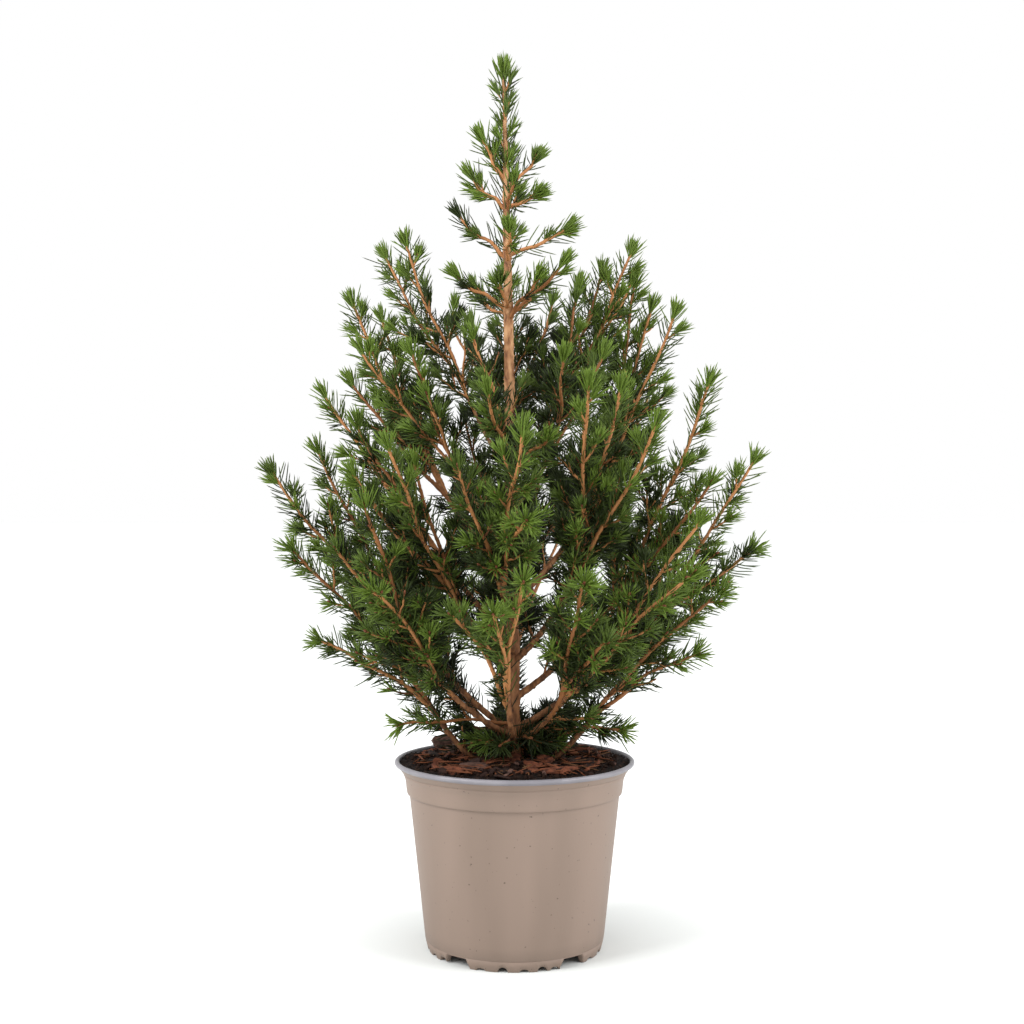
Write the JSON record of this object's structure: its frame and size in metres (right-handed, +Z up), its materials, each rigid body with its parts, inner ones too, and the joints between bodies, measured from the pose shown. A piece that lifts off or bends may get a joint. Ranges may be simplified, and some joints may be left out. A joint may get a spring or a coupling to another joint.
{
  "type": "potted dwarf spruce",
  "caption": "Young cone-shaped dwarf spruce with upswept needle-clad shoots on a slim trunk, growing in a round tapered nursery pot with a rolled rim.",
  "frame": {"origin": "middle of the pot's flat foot, on the surface that the pot stands on", "axes": "+Z up along the trunk; -Y towards the front, +X to the right seen from the front"},
  "size_m": [0.2746, 0.265, 0.484],
  "materials": {
    "pot_plastic": "matte taupe moulded plastic with fine dark specks",
    "potting_soil": "damp dark compost with bark chips",
    "bark": "rough orange-brown bark",
    "foliage": "satin deep green needles",
    "fresh_foliage": "satin fresh green needles"
  },
  "bodies": {
    "root": {"pot": "pot_plastic", "soil": "potting_soil", "trunk": "bark", "bough_low_left": "bark", "bough_left": "bark", "bough_low_front_left": "bark", "bough_front": "bark", "bough_low_front_right": "bark", "bough_low_right": "bark", "bough_right": "bark", "bough_low_rear_right": "bark", "bough_low_rear": "bark", "bough_low_rear_left": "bark", "bough_middle_left": "bark", "bough_middle_rear_left": "bark", "bough_middle_front_left": "bark", "bough_middle_front": "bark", "bough_middle_front_right": "bark", "bough_middle_right": "bark", "bough_middle_rear_right": "bark", "bough_middle_rear": "bark", "bough_upper_front_left": "bark", "bough_upper_front": "bark", "bough_upper_left": "bark", "bough_upper_right": "bark", "bough_upper_front_right": "bark", "bough_upper_rear": "bark", "foliage_leader": "fresh_foliage", "foliage_whorl_low": "fresh_foliage", "foliage_whorl_middle": "fresh_foliage", "foliage_whorl_high": "fresh_foliage", "foliage_low_left": "foliage", "foliage_left": "foliage", "foliage_low_front_left": "foliage", "foliage_front": "foliage", "foliage_low_front_right": "foliage", "foliage_low_right": "foliage", "foliage_right": "foliage", "foliage_low_rear_right": "foliage", "foliage_low_rear": "foliage", "foliage_low_rear_left": "foliage", "foliage_middle_left": "foliage", "foliage_middle_rear_left": "foliage", "foliage_middle_front_left": "foliage", "foliage_middle_front": "foliage", "foliage_middle_front_right": "foliage", "foliage_middle_right": "foliage", "foliage_middle_rear_right": "foliage", "foliage_middle_rear": "foliage", "foliage_upper_front_left": "foliage", "foliage_upper_front": "foliage", "foliage_upper_left": "foliage", "foliage_upper_right": "foliage", "foliage_upper_front_right": "foliage", "foliage_upper_rear": "foliage", "foliage_sprig_left": "foliage", "foliage_sprig_right": "foliage", "foliage_sprig_front_right": "foliage"}
  },
  "joints": []
}
